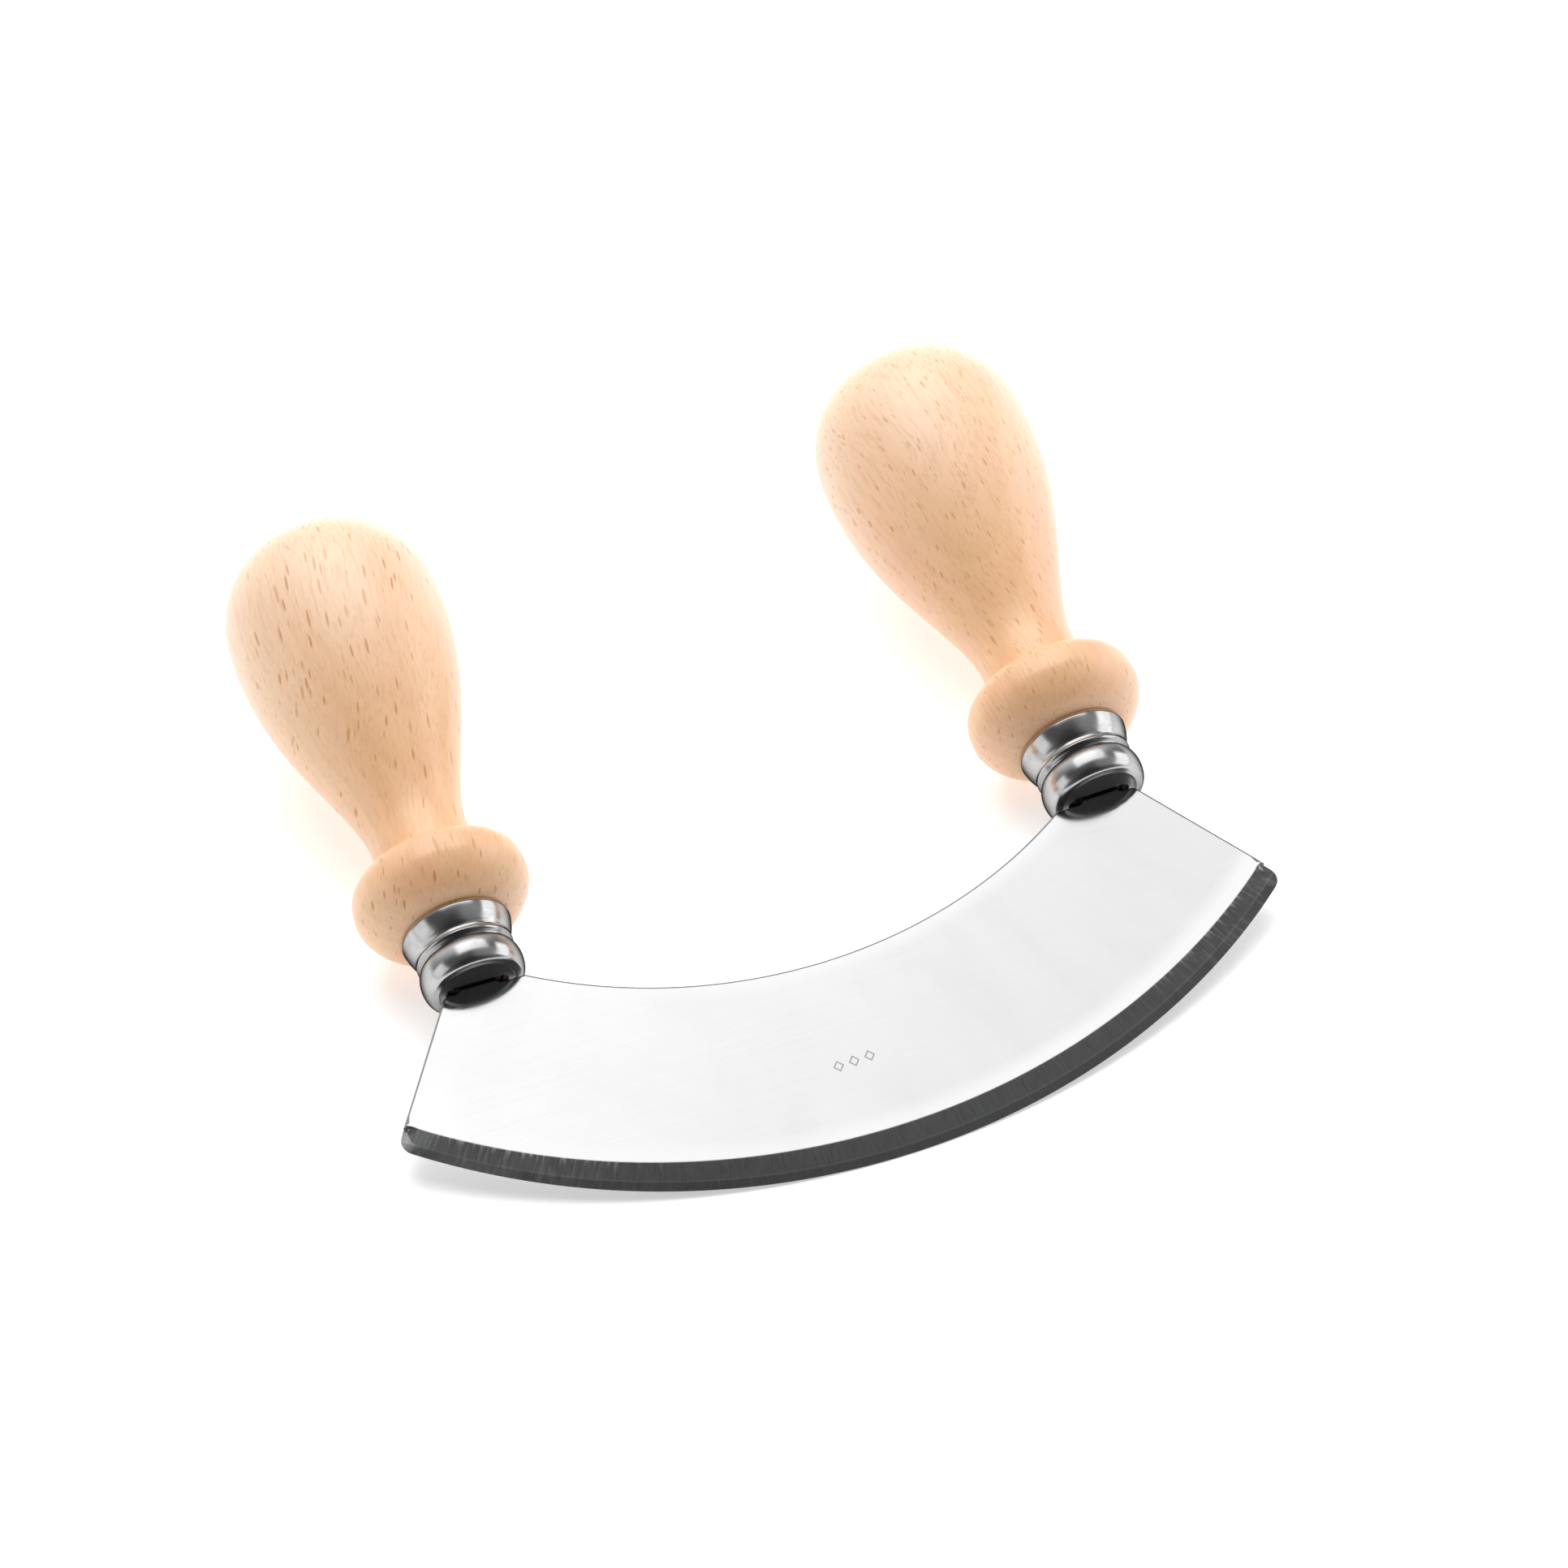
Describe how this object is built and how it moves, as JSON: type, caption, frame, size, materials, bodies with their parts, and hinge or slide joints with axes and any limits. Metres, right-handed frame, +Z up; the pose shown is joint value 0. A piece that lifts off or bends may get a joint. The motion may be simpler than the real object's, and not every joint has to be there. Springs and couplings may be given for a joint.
{
  "type": "mezzaluna herb chopper",
  "caption": "Rocking herb chopper: a crescent steel blade with a ground outer edge, held by pear-shaped turned wooden handles in polished ferrules at its ends.",
  "frame": {"origin": "centre of the bounding box in X and Y, at its bottom: the level surface that the chopper lies on", "axes": "+X along the blade, +Y from the cutting edge towards the knobs, +Z up from the table"},
  "size_m": [0.14, 0.1322, 0.0408],
  "materials": {
    "blade_steel": "satin polished, ground bevel",
    "ferrule_metal": "polished",
    "beech": "turned, thin satin lacquer",
    "resin": "cured, hidden"
  },
  "bodies": {
    "root": {"blade": "blade_steel", "left_ferrule": "ferrule_metal", "right_ferrule": "ferrule_metal", "left_handle": "beech", "right_handle": "beech", "left_tang_adhesive": "resin", "right_tang_adhesive": "resin"}
  },
  "joints": []
}
